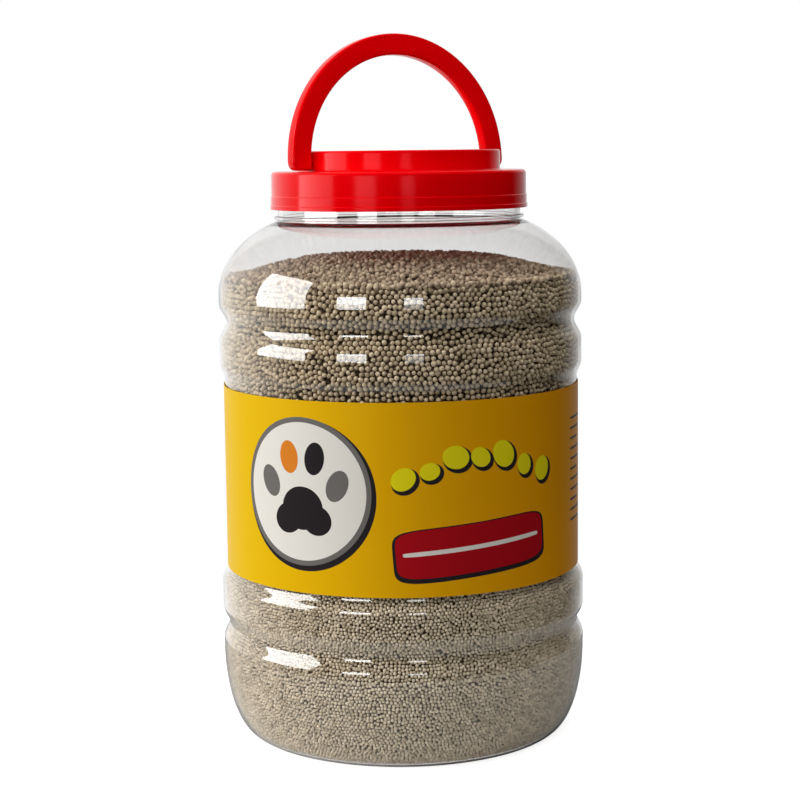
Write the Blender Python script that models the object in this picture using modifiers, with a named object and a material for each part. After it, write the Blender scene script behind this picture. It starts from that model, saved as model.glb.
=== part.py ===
"""A clear plastic jar of cat litter with a printed label and a red carry lid.

The body is a blow-moulded bottle with two bulges above the label and two
below it, full of round clay granules. Its lid screws on, and a half-ring
handle is hinged on the lid's raised boss.

Run it with: blender --background --python part.py
Metres, +Z up. The origin is the centre of the base, and the handle turns
about a line along X.
"""

import math

import bmesh
import bpy

# Fineness of the round pieces
FACETS = 36
GROOVE_STEPS = 6
STEP_STEPS = 3
CORNER_STEPS = 2
SHOULDER_STEPS = 6
HEEL_STEPS = 6
DOME_STEPS = 3
MOUND_STEPS = 4
HANDLE_ARC_STEPS = 28
HANDLE_EDGE_STEPS = 1
PIN_FACETS = 16
MERGE_DISTANCE = 0.00002

# Jar body, from the base up
STANDING_RING_RADIUS = 0.072
STANDING_RING_WIDTH = 0.006
PUSH_UP_HEIGHT = 0.008
HEEL_HEIGHT = 0.042
LOWER_RADIUS = 0.0870
LOWER_BAND_HEIGHT = 0.0036
LOWER_GROOVE_HEIGHT = 0.0156
LOWER_GROOVE_DEPTH = 0.0029
LOWER_BULGE_HEIGHT = 0.0123
LOWER_STEP_HEIGHT = 0.0070
PANEL_HEIGHT = 0.0900
PANEL_RADIUS = 0.0840
UPPER_STEP_HEIGHT = 0.0075
UPPER_BULGE_HEIGHT = 0.0105
UPPER_RADIUS = 0.0862
UPPER_GROOVE_HEIGHT = 0.0180
UPPER_GROOVE_DEPTH = 0.0034
TOP_BAND_HEIGHT = 0.0030
SHOULDER_RISE = 0.0353
SHOULDER_SWEEP_DEGREES = 63.4
BODY_WALL = 0.0009

# Jar neck
NECK_RADIUS = 0.0574
NECK_WALL = 0.0020
NECK_HEIGHT = 0.0191
LEDGE_FOOT = 0.0007
LEDGE_THICKNESS = 0.0016
LEDGE_WIDTH = 0.0016
LEDGE_BEVEL = 0.0004
RIM_BEVEL = 0.0004

# Litter
HEADSPACE = 0.0248
MOUND_RISE = 0.0095
MOUND_POWER = 2.2

# Label
LABEL_THICKNESS = 0.0003
LABEL_LOWER_MARGIN = 0.0005
LABEL_UPPER_MARGIN = 0.0025
LABEL_SEAM_DEGREES = 60.0
LABEL_OVERLAP_FACETS = 1

# Lid
SKIRT_WALL = 0.0013
SKIRT_GAP_ABOVE_LEDGE = 0.0031
SKIRT_STEP = 0.0003
SKIRT_STEP_HEIGHT = 0.0060
SKIRT_LIP = 0.0003
SKIRT_LIP_HEIGHT = 0.0018
FLANGE_THICKNESS = 0.0018
FLANGE_EDGE_RADIUS = 0.0018
BOSS_RADIUS = 0.0480
BOSS_HEIGHT = 0.0094
BOSS_EDGE_RADIUS = 0.0012
BOSS_FOOT_RADIUS = 0.0009
BOSS_WALL = 0.0018
LINER_THICKNESS = 0.0015

# Handle
HANDLE_WIDTH = 0.0100
HANDLE_THICKNESS = 0.0062
HANDLE_EDGE_RADIUS = 0.0012
HANDLE_CORNER_WIDTH = 0.0022
HANDLE_CORNER_HEIGHT = 0.0030
HANDLE_LEAN_DEGREES = -2.7
PIN_RADIUS = 0.0019
PIN_REACH = 0.0010
PIN_ROOT = 0.0030

# Clearances
SEAT_GAP = 0.0003
THREAD_ROOM = 0.0015
LINER_SIDE_GAP = 0.0005
PIN_GAP = 0.0003
HANDLE_SIDE_GAP = 0.0010
SWING_GAP = 0.0005
CUTTER_MARGIN = 0.0050

# Heights of the stacked stretches of the jar
LOWER_GROOVE_FOOT = HEEL_HEIGHT + LOWER_BAND_HEIGHT
LOWER_BULGE_FOOT = LOWER_GROOVE_FOOT + LOWER_GROOVE_HEIGHT
LOWER_STEP_FOOT = LOWER_BULGE_FOOT + LOWER_BULGE_HEIGHT
PANEL_FOOT = LOWER_STEP_FOOT + LOWER_STEP_HEIGHT
UPPER_STEP_FOOT = PANEL_FOOT + PANEL_HEIGHT
UPPER_BULGE_FOOT = UPPER_STEP_FOOT + UPPER_STEP_HEIGHT
UPPER_GROOVE_FOOT = UPPER_BULGE_FOOT + UPPER_BULGE_HEIGHT
TOP_BAND_FOOT = UPPER_GROOVE_FOOT + UPPER_GROOVE_HEIGHT
SHOULDER_FOOT = TOP_BAND_FOOT + TOP_BAND_HEIGHT
NECK_FOOT = SHOULDER_FOOT + SHOULDER_RISE
RIM_HEIGHT = NECK_FOOT + NECK_HEIGHT
LEDGE_TOP = NECK_FOOT + LEDGE_FOOT + LEDGE_THICKNESS

# Heights and radii of the lid and its handle, which follow the neck
LINER_FOOT = RIM_HEIGHT + SEAT_GAP
FLANGE_UNDERSIDE = LINER_FOOT + LINER_THICKNESS + SEAT_GAP
FLANGE_TOP = FLANGE_UNDERSIDE + FLANGE_THICKNESS
BOSS_TOP = FLANGE_TOP + BOSS_HEIGHT
SKIRT_FOOT = LEDGE_TOP + SKIRT_GAP_ABOVE_LEDGE
SKIRT_BORE_RADIUS = NECK_RADIUS + THREAD_ROOM
SKIRT_RADIUS = SKIRT_BORE_RADIUS + SKIRT_WALL
PIVOT_RISE = BOSS_HEIGHT / 2
PIVOT_HEIGHT = FLANGE_TOP + PIVOT_RISE
HANDLE_INNER_RADIUS = BOSS_RADIUS + HANDLE_SIDE_GAP
HANDLE_OUTER_RADIUS = HANDLE_INNER_RADIUS + HANDLE_WIDTH
SWING_RADIUS = PIVOT_RISE - SWING_GAP


def clear_scene():
    """Remove whatever the scene holds."""
    for item in list(bpy.data.objects):
        bpy.data.objects.remove(item, do_unlink=True)


def new_collection(name):
    """Add a collection to the scene."""
    collection = bpy.data.collections.new(name)
    bpy.context.scene.collection.children.link(collection)
    return collection


def plastic(name, colour, roughness, transmission=0.0):
    """Make a Principled material."""
    material = bpy.data.materials.new(name)
    material.use_nodes = True
    shader = material.node_tree.nodes["Principled BSDF"]
    shader.inputs["Base Color"].default_value = (*colour, 1.0)
    shader.inputs["Roughness"].default_value = roughness
    shader.inputs["Metallic"].default_value = 0.0
    shader.inputs["Transmission Weight"].default_value = transmission
    return material


def add_object(name, mesh, collection, material=None):
    """Link a mesh as a named object of a collection."""
    item = bpy.data.objects.new(name, mesh)
    collection.objects.link(item)
    if material:
        mesh.materials.append(material)
    return item


def arc(centre, reach, rise, start, end, steps):
    """Points of an elliptical arc between two angles in degrees, both ends included."""
    points = []
    for i in range(steps + 1):
        angle = math.radians(start + (end - start) * i / steps)
        points.append((centre[0] + reach * math.cos(angle), centre[1] + rise * math.sin(angle)))
    return points


def blend(start, end, steps):
    """Points of an S-shaped step from one radius and height to another."""
    points = []
    for i in range(steps + 1):
        share = i / steps
        eased = (1 - math.cos(math.pi * share)) / 2
        points.append((start[0] + (end[0] - start[0]) * eased, start[1] + (end[1] - start[1]) * share))
    return points


def groove(radius, depth, top, foot, steps):
    """Points of a rounded groove that runs round the jar, from its top to its foot."""
    points = []
    for i in range(steps + 1):
        share = i / steps
        dip = depth * (1 - math.cos(2 * math.pi * share)) / 2
        points.append((radius - dip, top + (foot - top) * share))
    return points


def without_repeats(points):
    """Drop each point that lies on the one before it."""
    kept = points[:1]
    for point in points[1:]:
        if math.dist(point, kept[-1]) > MERGE_DISTANCE:
            kept.append(point)
    return kept


def body_outline():
    """The jar's outside from the foot of its neck down to the centre of its base."""
    sweep = math.radians(SHOULDER_SWEEP_DEGREES)
    shoulder_reach = (UPPER_RADIUS - NECK_RADIUS) / (1 - math.cos(sweep))
    shoulder_centre = (UPPER_RADIUS - shoulder_reach, SHOULDER_FOOT)
    shoulder_semi_height = SHOULDER_RISE / math.sin(sweep)
    heel_centre = (STANDING_RING_RADIUS, HEEL_HEIGHT)
    heel_reach = LOWER_RADIUS - STANDING_RING_RADIUS
    ring_inner = STANDING_RING_RADIUS - STANDING_RING_WIDTH
    points = arc(
        shoulder_centre, shoulder_reach, shoulder_semi_height, SHOULDER_SWEEP_DEGREES, 0, SHOULDER_STEPS
    )
    points += groove(UPPER_RADIUS, UPPER_GROOVE_DEPTH, TOP_BAND_FOOT, UPPER_GROOVE_FOOT, GROOVE_STEPS)
    points += blend((UPPER_RADIUS, UPPER_BULGE_FOOT), (PANEL_RADIUS, UPPER_STEP_FOOT), STEP_STEPS)
    points += blend((PANEL_RADIUS, PANEL_FOOT), (LOWER_RADIUS, LOWER_STEP_FOOT), STEP_STEPS)
    points += groove(LOWER_RADIUS, LOWER_GROOVE_DEPTH, LOWER_BULGE_FOOT, LOWER_GROOVE_FOOT, GROOVE_STEPS)
    points += arc(heel_centre, heel_reach, HEEL_HEIGHT, 0, -90, HEEL_STEPS)
    points += arc((0, 0), ring_inner, PUSH_UP_HEIGHT, 0, 90, DOME_STEPS)
    return without_repeats(points)


def offset_inward(points, distance):
    """Move an outline that runs down the outer side inward by one wall, kept parallel."""
    moved = []
    for i, point in enumerate(points):
        normals = []
        for a, b in ((i - 1, i), (i, i + 1)):
            if a < 0 or b >= len(points):
                continue
            along = (points[b][0] - points[a][0], points[b][1] - points[a][1])
            length = math.hypot(*along)
            normals.append((along[1] / length, -along[0] / length))
        mean = (sum(n[0] for n in normals), sum(n[1] for n in normals))
        size = math.hypot(*mean)
        mean = (mean[0] / size, mean[1] / size)
        stretch = distance / (mean[0] * normals[0][0] + mean[1] * normals[0][1])
        moved.append((point[0] + mean[0] * stretch, point[1] + mean[1] * stretch))
    moved[-1] = (0.0, moved[-1][1])
    return moved


def turned(name, profile, collection, material=None):
    """Turn a profile of radius and height points about Z."""
    mesh = bpy.data.meshes.new(name)
    corners = [(radius, 0.0, height) for radius, height in profile]
    mesh.from_pydata(corners, [(i, i + 1) for i in range(len(corners) - 1)], [])
    item = add_object(name, mesh, collection, material)
    screw = item.modifiers.new("turn", "SCREW")
    screw.axis = "Z"
    screw.steps = FACETS
    screw.render_steps = FACETS
    screw.use_merge_vertices = True
    screw.merge_threshold = MERGE_DISTANCE
    screw.use_smooth_shade = True
    return item


def apply_boolean(item, cutter, operation):
    """Cut or join an object with another, and leave the modifier on it."""
    boolean = item.modifiers.new(cutter.name, "BOOLEAN")
    boolean.operation = operation
    boolean.solver = "EXACT"
    boolean.object = cutter


def hide_guide(item):
    """Show a cutter or guide as wires only, outside the part."""
    item.hide_render = True
    item.display_type = "WIRE"


def mesh_from_curve(item, collection):
    """Replace a curve object by a welded mesh object of the same name."""
    name = item.name
    graph = bpy.context.evaluated_depsgraph_get()
    mesh = bpy.data.meshes.new_from_object(item.evaluated_get(graph))
    place = item.matrix_world.copy()
    bpy.data.objects.remove(item, do_unlink=True)
    weld = bmesh.new()
    weld.from_mesh(mesh)
    bmesh.ops.remove_doubles(weld, verts=weld.verts, dist=MERGE_DISTANCE)
    bmesh.ops.recalc_face_normals(weld, faces=weld.faces)
    weld.to_mesh(mesh)
    weld.free()
    solid = add_object(name, mesh, collection)
    solid.matrix_world = place
    return solid


def outline_curve(name, points, collection, closed):
    """Make a 2D curve of straight runs through the given points."""
    curve = bpy.data.curves.new(name, "CURVE")
    curve.dimensions = "2D"
    spline = curve.splines.new("POLY")
    spline.points.add(len(points) - 1)
    for point, (x, y) in zip(spline.points, points):
        point.co = (x, y, 0.0, 1.0)
    spline.use_cyclic_u = closed
    item = bpy.data.objects.new(name, curve)
    collection.objects.link(item)
    return item


def cylinder_along_x(name, radius, start, end, height, collection):
    """Make a cylinder whose axis lies along X at a height."""
    bpy.ops.mesh.primitive_cylinder_add(
        vertices=PIN_FACETS,
        radius=radius,
        depth=end - start,
        location=((start + end) / 2, 0, height),
        rotation=(0, math.pi / 2, 0),
    )
    item = bpy.context.object
    item.name = name
    for old in list(item.users_collection):
        old.objects.unlink(item)
    collection.objects.link(item)
    hide_guide(item)
    return item


def make_jar(parts, material):
    """The bottle: neck, support ledge and body in one moulded wall."""
    ledge_foot = NECK_FOOT + LEDGE_FOOT
    ledge_radius = NECK_RADIUS + LEDGE_WIDTH
    bore_radius = NECK_RADIUS - NECK_WALL
    neck = [
        (bore_radius, RIM_HEIGHT),
        (NECK_RADIUS - RIM_BEVEL, RIM_HEIGHT),
        (NECK_RADIUS, RIM_HEIGHT - RIM_BEVEL),
        (NECK_RADIUS, LEDGE_TOP),
        (ledge_radius, LEDGE_TOP - LEDGE_BEVEL),
        (ledge_radius, ledge_foot + LEDGE_BEVEL),
        (NECK_RADIUS, ledge_foot),
    ]
    body = body_outline()
    inside = offset_inward(body, BODY_WALL)[1:]
    bore_foot = [(bore_radius, NECK_FOOT - BODY_WALL)]
    profile = list(reversed(inside)) + bore_foot + neck + body
    return turned("jar", profile, parts, material)


def make_litter(parts, material):
    """The granules as one filling, heaped in the middle, that stays clear of the wall."""
    level = NECK_FOOT - HEADSPACE
    side = offset_inward(body_outline(), BODY_WALL + SEAT_GAP)
    above = [point for point in side if point[1] > level][-1]
    below = [point for point in side[side.index(above):] if point[1] <= level]
    share = (above[1] - level) / (above[1] - below[0][1])
    edge = above[0] + (below[0][0] - above[0]) * share
    mound = []
    for i in range(MOUND_STEPS):
        radius = edge * i / MOUND_STEPS
        fall = (1 + math.cos(math.pi * (radius / edge) ** MOUND_POWER)) / 2
        mound.append((radius, level + MOUND_RISE * fall))
    return turned("litter", mound + [(edge, level)] + below, parts, material)


def make_label(parts, material):
    """The wrap-around label: one strip whose end laps over its start at the back."""
    facet = 2 * math.pi / FACETS
    seam = round(math.radians(LABEL_SEAM_DEGREES) / facet)
    inner = PANEL_RADIUS + SEAT_GAP
    lapped = inner + LABEL_THICKNESS + SEAT_GAP
    points = []
    for i in range(FACETS + LABEL_OVERLAP_FACETS + 1):
        radius = inner if i < FACETS else lapped
        angle = (seam + i) * facet
        points.append((radius * math.cos(angle), radius * math.sin(angle)))
    foot = PANEL_FOOT + LABEL_LOWER_MARGIN
    top = UPPER_STEP_FOOT - LABEL_UPPER_MARGIN
    strip = outline_curve("label", points, parts, closed=False)
    strip.data.fill_mode = "NONE"
    strip.data.extrude = (top - foot) / 2
    strip.location.z = (top + foot) / 2
    bpy.context.view_layer.update()
    label = mesh_from_curve(strip, parts)
    label.data.materials.append(material)
    wall = label.modifiers.new("thickness", "SOLIDIFY")
    wall.thickness = LABEL_THICKNESS
    wall.offset = 1.0 if faces_outward(label.data) else -1.0
    return label


def faces_outward(mesh):
    """Whether a strip round Z has its normals away from the axis."""
    face = mesh.polygons[0]
    return face.normal.x * face.center.x + face.normal.y * face.center.y > 0


def make_liner(parts, material):
    """The foam wad in the lid that seals on the jar's rim."""
    radius = SKIRT_BORE_RADIUS - LINER_SIDE_GAP
    top = LINER_FOOT + LINER_THICKNESS
    profile = [(0, top), (radius, top), (radius, LINER_FOOT), (0, LINER_FOOT)]
    return turned("lid_liner", profile, parts, material)


def make_lid(parts, cutters, material):
    """The screw lid: skirt, flange and hollow boss in one moulding, with two pivot holes."""
    step_height = SKIRT_FOOT + SKIRT_STEP_HEIGHT
    band_radius = SKIRT_RADIUS + SKIRT_STEP
    lip_radius = band_radius + SKIRT_LIP
    lip_top = SKIRT_FOOT + SKIRT_LIP_HEIGHT
    ceiling = BOSS_TOP - BOSS_WALL
    boss_bore = BOSS_RADIUS - BOSS_WALL
    boss_edge = (BOSS_RADIUS - BOSS_EDGE_RADIUS, BOSS_TOP - BOSS_EDGE_RADIUS)
    boss_foot = (BOSS_RADIUS + BOSS_FOOT_RADIUS, FLANGE_TOP + BOSS_FOOT_RADIUS)
    flange_edge = (SKIRT_RADIUS - FLANGE_EDGE_RADIUS, FLANGE_TOP - FLANGE_EDGE_RADIUS)
    profile = [(0, BOSS_TOP)]
    profile += arc(boss_edge, BOSS_EDGE_RADIUS, BOSS_EDGE_RADIUS, 90, 0, CORNER_STEPS)
    profile += arc(boss_foot, BOSS_FOOT_RADIUS, BOSS_FOOT_RADIUS, 180, 270, CORNER_STEPS)
    profile += arc(flange_edge, FLANGE_EDGE_RADIUS, FLANGE_EDGE_RADIUS, 90, 0, CORNER_STEPS)
    profile += [
        (SKIRT_RADIUS, step_height + SKIRT_STEP),
        (band_radius, step_height),
        (band_radius, lip_top + SKIRT_LIP),
        (lip_radius, lip_top),
        (lip_radius, SKIRT_FOOT),
        (SKIRT_BORE_RADIUS, SKIRT_FOOT),
        (SKIRT_BORE_RADIUS, FLANGE_UNDERSIDE),
        (boss_bore, FLANGE_UNDERSIDE),
        (boss_bore, ceiling),
        (0, ceiling),
    ]
    lid = turned("lid", profile, parts, material)
    reach = BOSS_RADIUS + HANDLE_SIDE_GAP + CUTTER_MARGIN
    holes = cylinder_along_x("pivot_holes", PIN_RADIUS + PIN_GAP, -reach, reach, PIVOT_HEIGHT, cutters)
    apply_boolean(lid, holes, "DIFFERENCE")
    return lid


def handle_outline():
    """The half ring and its two legs, inset by the radius that rounds its edges."""
    outer = HANDLE_OUTER_RADIUS - HANDLE_EDGE_RADIUS
    inner = HANDLE_INNER_RADIUS + HANDLE_EDGE_RADIUS
    foot = -(SWING_RADIUS - HANDLE_EDGE_RADIUS)
    corner = (outer - HANDLE_CORNER_WIDTH, foot + HANDLE_CORNER_HEIGHT)
    right_corner = arc(corner, HANDLE_CORNER_WIDTH, HANDLE_CORNER_HEIGHT, -90, 0, CORNER_STEPS)
    left_corner = [(-x, y) for x, y in reversed(right_corner)]
    points = [(inner, foot)] + right_corner
    points += arc((0, 0), outer, outer, 0, 180, HANDLE_ARC_STEPS)
    points += left_corner + [(-inner, foot)]
    points += arc((0, 0), inner, inner, 180, 0, HANDLE_ARC_STEPS)
    return without_repeats(points)


def make_handle(parts, cutters, lid, material):
    """The carry handle: a half ring with trunnion pins that turn in the boss."""
    flat = outline_curve("handle", handle_outline(), parts, closed=True)
    flat.data.fill_mode = "BOTH"
    flat.data.extrude = HANDLE_THICKNESS / 2 - HANDLE_EDGE_RADIUS
    flat.data.bevel_depth = HANDLE_EDGE_RADIUS
    flat.data.bevel_resolution = HANDLE_EDGE_STEPS
    flat.rotation_euler.x = math.pi / 2
    bpy.context.view_layer.update()
    handle = mesh_from_curve(flat, parts)
    handle.data.transform(handle.matrix_world)
    handle.matrix_world.identity()
    handle.data.materials.append(material)

    swing = swing_envelope(HANDLE_OUTER_RADIUS + CUTTER_MARGIN, cutters)
    apply_boolean(handle, swing, "INTERSECT")
    pin_tip = BOSS_RADIUS - BOSS_WALL - PIN_REACH
    pin_root = HANDLE_INNER_RADIUS + PIN_ROOT
    guides = [swing]
    for side, start, end in (("right", pin_tip, pin_root), ("left", -pin_root, -pin_tip)):
        pin = cylinder_along_x(f"{side}_pin", PIN_RADIUS, start, end, 0, cutters)
        apply_boolean(handle, pin, "UNION")
        guides.append(pin)

    pivot = bpy.data.objects.new("handle_pivot", None)
    parts.objects.link(pivot)
    pivot.parent = lid
    pivot.location.z = PIVOT_HEIGHT
    pivot.rotation_euler.x = math.radians(HANDLE_LEAN_DEGREES)
    for item in [handle] + guides:
        item.parent = pivot
    return handle


def swing_envelope(room, cutters):
    """The space that rounds the leg ends about the pivot, so that they clear the flange."""
    half = HANDLE_THICKNESS
    points = [(-half, room), (-half, 0)]
    points += arc((0, 0), SWING_RADIUS, SWING_RADIUS, 180, 360, PIN_FACETS)
    points += [(half, 0), (half, room)]
    side = outline_curve("swing_envelope", without_repeats(points), cutters, closed=True)
    side.data.fill_mode = "BOTH"
    side.data.extrude = room
    side.rotation_euler = (math.pi / 2, 0, math.pi / 2)
    bpy.context.view_layer.update()
    envelope = mesh_from_curve(side, cutters)
    hide_guide(envelope)
    return envelope


def main():
    clear_scene()
    parts = new_collection("litter_jar")
    cutters = new_collection("cutters")
    clear_pet = plastic("clear_pet", (0.93, 0.95, 0.95), 0.05, transmission=0.9)
    red_plastic = plastic("red_plastic", (0.62, 0.003, 0.006), 0.25)
    label_film = plastic("label_film", (0.80, 0.47, 0.03), 0.35)
    granules = plastic("granules", (0.36, 0.31, 0.24), 0.9)
    foam = plastic("foam", (0.85, 0.85, 0.83), 0.8)
    make_jar(parts, clear_pet)
    make_litter(parts, granules)
    make_label(parts, label_film)
    make_liner(parts, foam)
    lid = make_lid(parts, cutters, red_plastic)
    make_handle(parts, cutters, lid, red_plastic)


main()
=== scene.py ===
"""The looks of a clear plastic jar of cat litter with a red carry lid.

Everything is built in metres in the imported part's own frame. Each piece of the
frame is replaced by a finer one of the same form, the filling by single
granules.
"""

import math

import bmesh
import bpy
import numpy as np
from mathutils import Matrix, Vector, kdtree


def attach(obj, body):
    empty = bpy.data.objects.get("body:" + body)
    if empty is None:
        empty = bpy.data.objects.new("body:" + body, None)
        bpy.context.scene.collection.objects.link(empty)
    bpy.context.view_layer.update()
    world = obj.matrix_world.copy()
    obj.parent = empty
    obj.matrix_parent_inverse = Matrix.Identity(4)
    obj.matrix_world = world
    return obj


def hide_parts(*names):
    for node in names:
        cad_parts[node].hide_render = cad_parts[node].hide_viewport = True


SEED = 7

# Fineness
FACETS = 160
GROOVE_STEPS = 18
STEP_STEPS = 8
SHOULDER_STEPS = 22
HEEL_STEPS = 18
DOME_STEPS = 10
CORNER_STEPS = 6
MOUND_STEPS = 20
THREAD_ROWS = 44
HANDLE_ARC_STEPS = 96
HANDLE_BEVEL_STEPS = 4
PIN_FACETS = 32
FLOOR_FACETS = 96
SHARP_DEGREES = 40
SAME_POINT = 0.00002

# Jar body, from the base up
STANDING_RING_RADIUS = 0.072
STANDING_RING_WIDTH = 0.006
PUSH_UP_HEIGHT = 0.008
HEEL_HEIGHT = 0.042
LOWER_RADIUS = 0.0870
LOWER_BAND_HEIGHT = 0.0036
LOWER_GROOVE_HEIGHT = 0.0156
LOWER_GROOVE_DEPTH = 0.0029
LOWER_BULGE_HEIGHT = 0.0123
LOWER_STEP_HEIGHT = 0.0070
PANEL_HEIGHT = 0.0900
PANEL_RADIUS = 0.0840
UPPER_STEP_HEIGHT = 0.0075
UPPER_BULGE_HEIGHT = 0.0105
UPPER_RADIUS = 0.0862
UPPER_GROOVE_HEIGHT = 0.0180
UPPER_GROOVE_DEPTH = 0.0034
TOP_BAND_HEIGHT = 0.0030
SHOULDER_RISE = 0.0353
SHOULDER_SWEEP_DEGREES = 63.4
BODY_WALL = 0.0009

# Jar neck
NECK_RADIUS = 0.0574
NECK_WALL = 0.0020
NECK_HEIGHT = 0.0191
LEDGE_FOOT = 0.0007
LEDGE_THICKNESS = 0.0016
LEDGE_WIDTH = 0.0016
LEDGE_ROUND = 0.0004
RIM_ROUND = 0.0004

# Screw thread, a single right-hand start
PITCH = 0.006
THREAD_DEPTH = 0.0009
THREAD_FOOT_WIDTH = 0.0026
THREAD_CREST_WIDTH = 0.0012
NECK_THREAD_MARGIN = 0.0040
NECK_THREAD_TURNS = 1.5
LID_THREAD_TURNS = 1.75
THREAD_END_FADE = 0.06

# Litter
HEADSPACE = 0.0248
MOUND_RISE = 0.0095
MOUND_POWER = 2.2
WALL_CLEARANCE = 0.0003

# Label
LABEL_THICKNESS = 0.0003
LABEL_LOWER_MARGIN = 0.0005
LABEL_UPPER_MARGIN = 0.0025
LABEL_GAP = 0.0003
LABEL_SEAM_DEGREES = 60.0
LABEL_LAP_DEGREES = 10.0
LABEL_HEIGHT = PANEL_HEIGHT - LABEL_LOWER_MARGIN - LABEL_UPPER_MARGIN

# Lid
SKIRT_WALL = 0.0013
SKIRT_GAP_ABOVE_LEDGE = 0.0031
SKIRT_STEP = 0.0003
SKIRT_STEP_HEIGHT = 0.0060
SKIRT_LIP = 0.0003
SKIRT_LIP_HEIGHT = 0.0018
FLANGE_THICKNESS = 0.0018
FLANGE_EDGE_RADIUS = 0.0018
BOSS_RADIUS = 0.0480
BOSS_HEIGHT = 0.0094
BOSS_EDGE_RADIUS = 0.0012
BOSS_FOOT_RADIUS = 0.0009
BOSS_WALL = 0.0018
LINER_THICKNESS = 0.0015

# Handle
HANDLE_WIDTH = 0.0100
HANDLE_THICKNESS = 0.0062
HANDLE_EDGE_RADIUS = 0.0012
HANDLE_CORNER_WIDTH = 0.0022
HANDLE_CORNER_HEIGHT = 0.0030
HANDLE_LEAN_DEGREES = -2.7
PIN_RADIUS = 0.0019
PIN_REACH = 0.0010
PIN_ROOT = 0.0030

# Clearances
SEAT_GAP = 0.0003
THREAD_ROOM = 0.0015
LINER_SIDE_GAP = 0.0005
PIN_GAP = 0.0003
HANDLE_SIDE_GAP = 0.0010
SWING_GAP = 0.0005
CUTTER_MARGIN = 0.0050

# Heights and radii that follow from the sizes above
LOWER_GROOVE_FOOT = HEEL_HEIGHT + LOWER_BAND_HEIGHT
LOWER_BULGE_FOOT = LOWER_GROOVE_FOOT + LOWER_GROOVE_HEIGHT
LOWER_STEP_FOOT = LOWER_BULGE_FOOT + LOWER_BULGE_HEIGHT
PANEL_FOOT = LOWER_STEP_FOOT + LOWER_STEP_HEIGHT
UPPER_STEP_FOOT = PANEL_FOOT + PANEL_HEIGHT
UPPER_BULGE_FOOT = UPPER_STEP_FOOT + UPPER_STEP_HEIGHT
UPPER_GROOVE_FOOT = UPPER_BULGE_FOOT + UPPER_BULGE_HEIGHT
TOP_BAND_FOOT = UPPER_GROOVE_FOOT + UPPER_GROOVE_HEIGHT
SHOULDER_FOOT = TOP_BAND_FOOT + TOP_BAND_HEIGHT
NECK_FOOT = SHOULDER_FOOT + SHOULDER_RISE
RIM_HEIGHT = NECK_FOOT + NECK_HEIGHT
LEDGE_TOP = NECK_FOOT + LEDGE_FOOT + LEDGE_THICKNESS
LABEL_FOOT = PANEL_FOOT + LABEL_LOWER_MARGIN
LABEL_TOP = LABEL_FOOT + LABEL_HEIGHT
LINER_FOOT = RIM_HEIGHT + SEAT_GAP
FLANGE_UNDERSIDE = LINER_FOOT + LINER_THICKNESS + SEAT_GAP
FLANGE_TOP = FLANGE_UNDERSIDE + FLANGE_THICKNESS
BOSS_TOP = FLANGE_TOP + BOSS_HEIGHT
SKIRT_FOOT = LEDGE_TOP + SKIRT_GAP_ABOVE_LEDGE
SKIRT_BORE_RADIUS = NECK_RADIUS + THREAD_ROOM
SKIRT_RADIUS = SKIRT_BORE_RADIUS + SKIRT_WALL
# How high the painted glow inside the lid's skirt reaches
SKIRT_PAINTED_GLOW_TOP = FLANGE_TOP - FLANGE_EDGE_RADIUS / 2
PIVOT_RISE = BOSS_HEIGHT / 2
PIVOT_HEIGHT = FLANGE_TOP + PIVOT_RISE
HANDLE_INNER_RADIUS = BOSS_RADIUS + HANDLE_SIDE_GAP
HANDLE_OUTER_RADIUS = HANDLE_INNER_RADIUS + HANDLE_WIDTH
SWING_RADIUS = PIVOT_RISE - SWING_GAP
NECK_THREAD_FOOT = LEDGE_TOP + NECK_THREAD_MARGIN
LITTER_LEVEL = NECK_FOOT - HEADSPACE

# Granules: (spacing, radius, share that the radius varies) of each kind
COARSE = (0.00270, 0.00127, 0.13)
FINE = (0.00177, 0.00087, 0.12)
# How uneven a granule is. In spacings, how far it strays and how far apart the rows are
STRETCH = 0.10
SCATTER = 0.42
ROW_SHARE = 0.87
# How often granules that run into each other are pushed apart, and what share of the overlap each moves
SPREAD_ROUNDS = 5
SPREAD_SHARE = 0.55
# How many radii below the surface the granules lie: against the wall, on top of the heap and below both
WALL_DEPTHS = (1.0, 1.3)
TOP_DEPTHS = (0.5, 1.9)
DEEP_DEPTHS = (2.6, 3.3)
# How far the granules reach behind the label, and how deep the bed lies behind each kind
HIDDEN_MARGIN = 0.0035
BED_DEPTH_COARSE = 0.0046
BED_DEPTH_FINE = 0.0020

# Colours
PET_TINT = (0.946, 0.941, 0.938)
PET_SHADOW_TINT = (0.96, 0.97, 0.965)
RED_TONES = ((0.79, 0.0, 0.0015), (0.87, 0.0002, 0.003))
RED_GLOSS = (0.30, 0.072, 0.080)
# Painted glow: colour and strength of the red emission inside the lid's skirt, which stands in for light
# shining through its thin wall
SKIRT_PAINTED_GLOW_COLOUR = (1.0, 0.07, 0.09)
SKIRT_PAINTED_GLOW = 0.28
FOAM_WHITE = (0.85, 0.85, 0.83)
FLOOR_GREY = (0.65, 0.65, 0.65)
WHITE = (1.0, 1.0, 1.0)
# The darkest and the lightest tone of each kind of litter
CLAYS = {
    # The heap is the coarse clay in darker tones: painted shade for the light that falls on its top
    "heap": ((0.28, 0.200, 0.135), (0.66, 0.505, 0.36)),
    "coarse": ((0.49, 0.378, 0.246), (0.87, 0.705, 0.492)),
    # The deep granules are the coarse clay in much darker tones: painted shade in the gaps between the
    # granules in front
    "deep": ((0.15, 0.108, 0.064), (0.36, 0.27, 0.17)),
    "fine": ((0.58, 0.466, 0.326), (0.97, 0.825, 0.635)),
    # The bed is painted nearly black: painted shade that shows in the gaps between the granules
    "bed": ((0.06, 0.043, 0.026), (0.15, 0.113, 0.072)),
}
# How much of a granule's tone is the grain on its surface
GRAIN_SHARE = 0.30

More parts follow.
